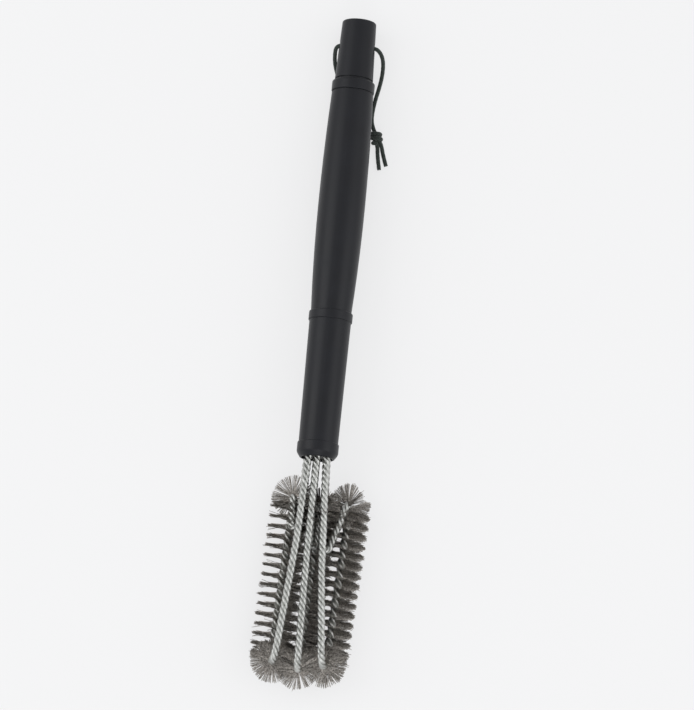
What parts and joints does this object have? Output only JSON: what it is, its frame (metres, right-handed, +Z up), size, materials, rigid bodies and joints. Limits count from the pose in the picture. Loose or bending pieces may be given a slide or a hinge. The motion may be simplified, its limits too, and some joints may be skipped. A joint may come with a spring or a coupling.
{
  "type": "grill cleaning brush",
  "caption": "Long-handled wire brush for cleaning grill grates, with brush rows bent from twisted steel rope and a hanging loop.",
  "frame": {"origin": "on the ground below the middle of the brush, as it lies on its bristles", "axes": "+Y from the brush head towards the butt of the handle, +X to the right seen from above with the head nearest, +Z up"},
  "size_m": [0.0728, 0.4636, 0.0434],
  "materials": {
    "handle_plastic": "black moulded plastic, satin, finely grained",
    "insert_plastic": "black cast plastic",
    "rope_wire": "drawn steel wire, twisted",
    "bristle_wire": "fine steel bristle wire, mostly air; it takes the density of loose fibre",
    "loop_cord": "thin round dark green-black cord"
  },
  "bodies": {
    "brush": {"grip_shell": "handle_plastic", "tail_cap": "handle_plastic", "core_insert": "insert_plastic", "left_wire_1": "rope_wire", "left_wire_2": "rope_wire", "left_wire_3": "rope_wire", "middle_wire_1": "rope_wire", "middle_wire_2": "rope_wire", "middle_wire_3": "rope_wire", "right_wire_1": "rope_wire", "right_wire_2": "rope_wire", "right_wire_3": "rope_wire", "left_bristles": "bristle_wire", "middle_bristles": "bristle_wire", "right_bristles": "bristle_wire"},
    "hang_loop": {"cord_in_hole": "loop_cord", "cord_right": "loop_cord", "cord_left": "loop_cord", "loop_knot": "loop_cord", "cord_tails": "loop_cord"}
  },
  "joints": [
    {"name": "loop_swing", "type": "hinge", "parent": "brush", "child": "hang_loop", "pos_m": [-0.0034, 0.21403, 0.01667], "axis": [1, 0, 0], "range_deg": [0, 170]}
  ]
}
